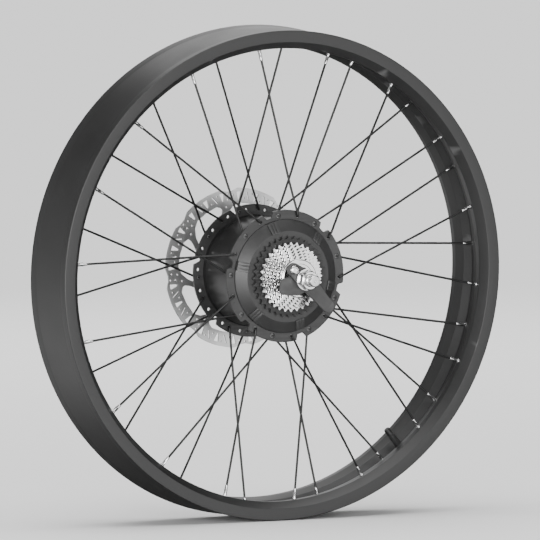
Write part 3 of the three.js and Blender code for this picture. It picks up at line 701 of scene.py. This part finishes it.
bx, by = in_plane(*BOLT)
head = [(0, 102.9)] + fillet([(5.7, 102.9), (5.7, 104.5), (4.9, 106.0), (3.4, 106.8)], [0.2, 1.0, 0.9, 0.3], seg=4, closed=False)
head += [(2.9, 106.8), (2.6, 106.5), (2.6, 104.4), (0, 104.2)]


def socket(a, r, z):
    if r > 2.7 or r < 0.5:
        return 1.0
    u = math.degrees(a) % 60 - 30
    return 1.0 / math.cos(rad(u))


bolt = lathe(head, 96, socket)
shank = lathe([(0, 91), (2.6, 91), (2.9, 91.4), (2.9, 103), (0, 103)], 32)
piece("torque_arm_bolt_socket", [shifted(bolt, bx, by), shifted(shank, bx, by)], "axle", M["chrome"], ["torque_arm_bolt"])


# ----------------------------------------------------------------- brake rotor
WINDOW = [(77, 12), (77, 23), (77, 34), (73, 40.5), (65.5, 46.7), (56, 52.7), (45, 58), (33, 64.5), (33, 32.5), (45, 23), (56, 15.9), (65.5, 8.9), (73, 6.5)]
WINDOW_R = [3, 0, 3, 4, 10, 10, 10, 2.5, 2.5, 10, 10, 6, 5]
outline, outline_r, holes = [], [], []
for k in range(8):
    j = 109.2 + 45 * k + PHASE
    for r, a, f in ((91.1, -4, 1.5), (91.0, 0, 6), (94.4, 5, 3)):
        outline.append(polar(r, j + a))
        outline_r.append(f)
    for s in range(1, 15):
        outline.append(polar(94.4, j + 5 + s * 2.2))
        outline_r.append(0)
    holes.append(fillet([polar(r, j + a) for r, a in WINDOW], WINDOW_R, seg=5))
    for a, lean, inner, outer in ((4.6, 0, 0.6, 2.0), (10.1, 3, 0.55, 0.55), (19.6, 0, 0.6, 2.0), (25.3, 3, 0.55, 0.55), (34.8, 0, 0.6, 2.0)):
        s = [polar(80.7, j + a - inner), polar(90.2, j + a + lean - outer), polar(90.2, j + a + lean + outer), polar(80.7, j + a + inner)]
        holes.append(fillet(s, 0.5, seg=3))
    for a, r in ((2.2, 73.3), (-4.4, 78.5), (0, 81.8), (-5, 86.2), (-0.4, 88.4)):
        holes.append(circle(1.15, 20, *polar(r, j + a)))
    for a, r in ((9.0, 88.6), (15.2, 82.4), (23.5, 88.6), (30.1, 82.4)):
        holes.append(circle(0.95, 16, *polar(r, j + a)))
rotor = plate(fillet(outline, outline_r, seg=5), holes + [circle(17.4, 96)], -74, -72, 0.22)
rotor_obj = piece("brake_rotor_cut", [rotor], "wheel", M["rotor"], ["brake_rotor"], sharp=30)
ring = fillet([(17.4, -77.6), (22, -77.6), (22, -74.3), (17.4, -74.3)], [0.3, 0.6, 0.2, 0.2], seg=3)
piece("rotor_lockring_notched", [lathe(ring, 144, lambda a, r, z: 1 - (0.05 if r > 20 and math.cos(16 * a) > 0.3 else 0))],
      "wheel", M["dark_steel"], ["rotor_lockring"])
seal = fillet([(8.5, -81.6), (15.5, -81.6), (15.5, -79.3), (8.5, -79.3)], [0.3, 0.8, 0.2, 0.2], seg=4)
piece("dust_seal_lipped", [lathe(seal, 96)], "axle", M["rubber"], ["dust_seal_brake"])
gland = [(0, -121)] + fillet([(4.6, -121), (6, -118.4), (3.95, -118.3), (3.95, -97)], [0.5, 0.3, 0.1, 0], seg=4, closed=False) + [(0, -97)]
piece("cable_gland_moulded", [lathe(gland, 64)], "axle", M["rubber"], ["cable_gland"])

# ------------------------------------------------------------ hidden CAD nodes
for names, key in (
    (["bearing_brake_outer", "bearing_brake_inner", "bearing_drive_outer", "bearing_drive_inner"], "bearing"),
    (["stator_core"], "lamination"),
    (["stator_windings"], "copper"),
    (["magnet_ring"], "magnet"),
    (["rotor_can", "sun_gear", "ring_gear"], "turned_steel"),
    (["planet_carrier"], "carrier"),
    (["planet_gear_1", "planet_gear_2", "planet_gear_3"], "nylon"),
):
    for n in names:
        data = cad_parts[n].data
        data.materials.clear()
        data.materials.append(M[key])

# --------------------------------------------------------------- floor, lights
floor_mesh = bpy.data.meshes.new("floor")
floor_z = cad_box[0][2] - 0.0003
floor_mesh.from_pydata([(-14, -14, floor_z), (14, -14, floor_z), (14, 14, floor_z), (-14, 14, floor_z)], [], [(0, 1, 2, 3)])
floor = bpy.data.objects.new("floor", floor_mesh)
bpy.context.scene.collection.objects.link(floor)
pale = bpy.data.materials.new("floor_pale")
pale.use_nodes = True
pale.node_tree.nodes["Principled BSDF"].inputs["Base Color"].default_value = (0.93, 0.93, 0.93, 1)
pale.node_tree.nodes["Principled BSDF"].inputs["Roughness"].default_value = 0.95
pale.node_tree.nodes["Principled BSDF"].inputs["Specular IOR Level"].default_value = 0.0
# The part doesn't mirror the floor.
floor.visible_glossy = False
floor_mesh.materials.append(pale)

# A dim room with soft light from overhead, the left and the drive side.
world = bpy.data.worlds.new("studio")
bpy.context.scene.world = world
world.use_nodes = True
wt = world.node_tree
wc = wt.nodes.new("ShaderNodeTexCoord").outputs["Generated"]


def toward(direction, lo, hi, amount):
    dot = wt.nodes.new("ShaderNodeVectorMath")
    dot.operation = "DOT_PRODUCT"
    dot.inputs[1].default_value = Vector(direction).normalized()
    wt.links.new(wc, dot.inputs[0])
    m = wt.nodes.new("ShaderNodeMapRange")
    m.interpolation_type = "SMOOTHSTEP"
    m.inputs["From Min"].default_value = lo
    m.inputs["From Max"].default_value = hi
    m.inputs["To Min"].default_value = 0.0
    m.inputs["To Max"].default_value = amount
    wt.links.new(dot.outputs["Value"], m.inputs["Value"])
    return m.outputs[0]


total = None
for arg in (((-1, 0.1, -0.1), 0.2, 0.95, 0.5), ((-0.35, 0.88, -0.31), 0.93, 1.0, 0.9), ((-0.35, -0.93, 0), 0.82, 1.0, 3.2), ((0.3, -0.95, -0.05), 0.78, 0.96, 1.8), ((0, 0, 1), 0.76, 0.90, 3.6)):
    part = toward(*arg)
    if total is None:
        total = part
    else:
        n = wt.nodes.new("ShaderNodeMath")
        n.operation = "ADD"
        wt.links.new(total, n.inputs[0])
        wt.links.new(part, n.inputs[1])
        total = n.outputs[0]
base = wt.nodes.new("ShaderNodeMath")
base.operation = "ADD"
base.inputs[1].default_value = 0.07
wt.links.new(total, base.inputs[0])
wt.nodes["Background"].inputs["Color"].default_value = (1, 1, 1, 1)
wt.links.new(base.outputs[0], wt.nodes["Background"].inputs["Strength"])


def area(name, loc, target, size, power):
    light = bpy.data.lights.new(name, "AREA")
    light.shape = "SQUARE"
    light.size = size
    light.energy = power
    o = bpy.data.objects.new(name, light)
    o.location = loc
    o.rotation_mode = "QUATERNION"
    o.rotation_quaternion = (Vector(target) - Vector(loc)).to_track_quat("-Z", "Y")
    bpy.context.scene.collection.objects.link(o)


area("front", (-1.15, -2.0, 0.15), (0, 0, 0), 0.9, 26)
area("left", (-2.3, 0.2, -0.05), (0, 0, 0), 1.0, 9)
area("back", (0.9, 2.2, 1.0), (0, 0, 0), 1.4, 10)

# ---------------------------------------------------------------------- camera
az, el = rad(-27.94), rad(5.34)
back = Vector((math.sin(az) * math.cos(el), -math.cos(az) * math.cos(el), math.sin(el)))
right = Vector((math.cos(az), math.sin(az), 0))
up = back.cross(right)
cam_data = bpy.data.cameras.new("camera")
cam_data.type = "ORTHO"
cam_data.ortho_scale = 0.6364
cam_data.dof.use_dof = False
cam = bpy.data.objects.new("camera", cam_data)
cam.location = right * 0.00599 + up * 0.00303 + back * 2.5
cam.rotation_mode = "QUATERNION"
cam.rotation_quaternion = (-back).to_track_quat("-Z", "Y")
cam_data.clip_end = 60
bpy.context.scene.collection.objects.link(cam)
bpy.context.scene.camera = cam
